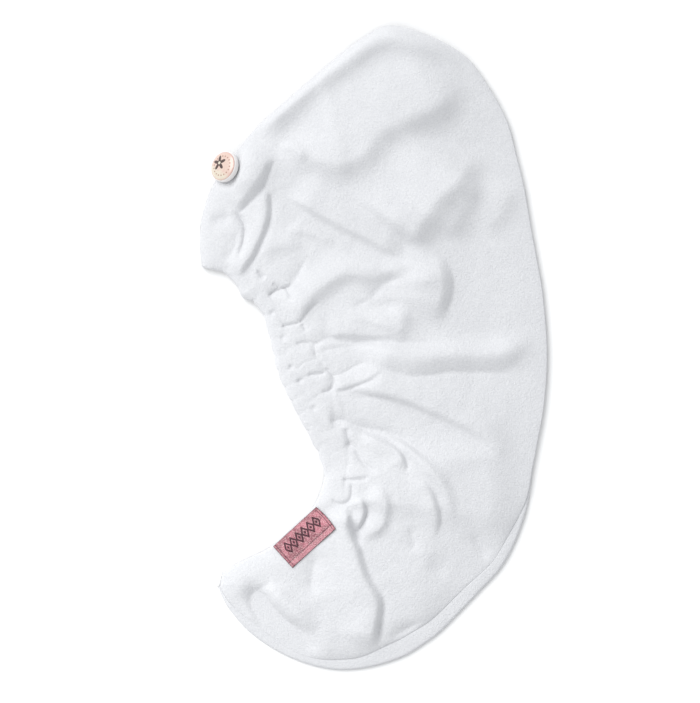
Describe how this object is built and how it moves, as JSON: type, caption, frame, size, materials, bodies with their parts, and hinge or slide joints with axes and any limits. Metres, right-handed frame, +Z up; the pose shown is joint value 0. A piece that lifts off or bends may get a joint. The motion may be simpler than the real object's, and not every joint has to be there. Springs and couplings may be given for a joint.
{
  "type": "hair towel",
  "caption": "Cloth hair towel lying flat, two plush panels sewn into a curved hood with a gathered head opening, a tail, a domed button and a woven label.",
  "frame": {"origin": "on the ground below the middle of the towel's outline, as it lies flat", "axes": "+Z up from the surface it lies on, +Y along the towel towards its crown, +X from the head opening towards the outer seam"},
  "size_m": [0.349, 0.6468, 0.0249],
  "materials": {
    "plush_cloth": "soft short plush pile, matt",
    "woven_label": "woven satin with a slight sheen",
    "button_white": "smooth, half gloss",
    "button_peach": "smooth gloss with a small printed flower pattern",
    "sewing_thread": "twisted thread, matt"
  },
  "bodies": {
    "root": {"upper_corner": "plush_cloth", "upper_panel": "plush_cloth", "upper_tail": "plush_cloth", "upper_rim": "plush_cloth", "lower_panel": "plush_cloth", "lower_rim": "plush_cloth", "label": "woven_label", "button_base": "button_white", "button_face": "button_peach", "button_thread": "sewing_thread"}
  },
  "joints": []
}
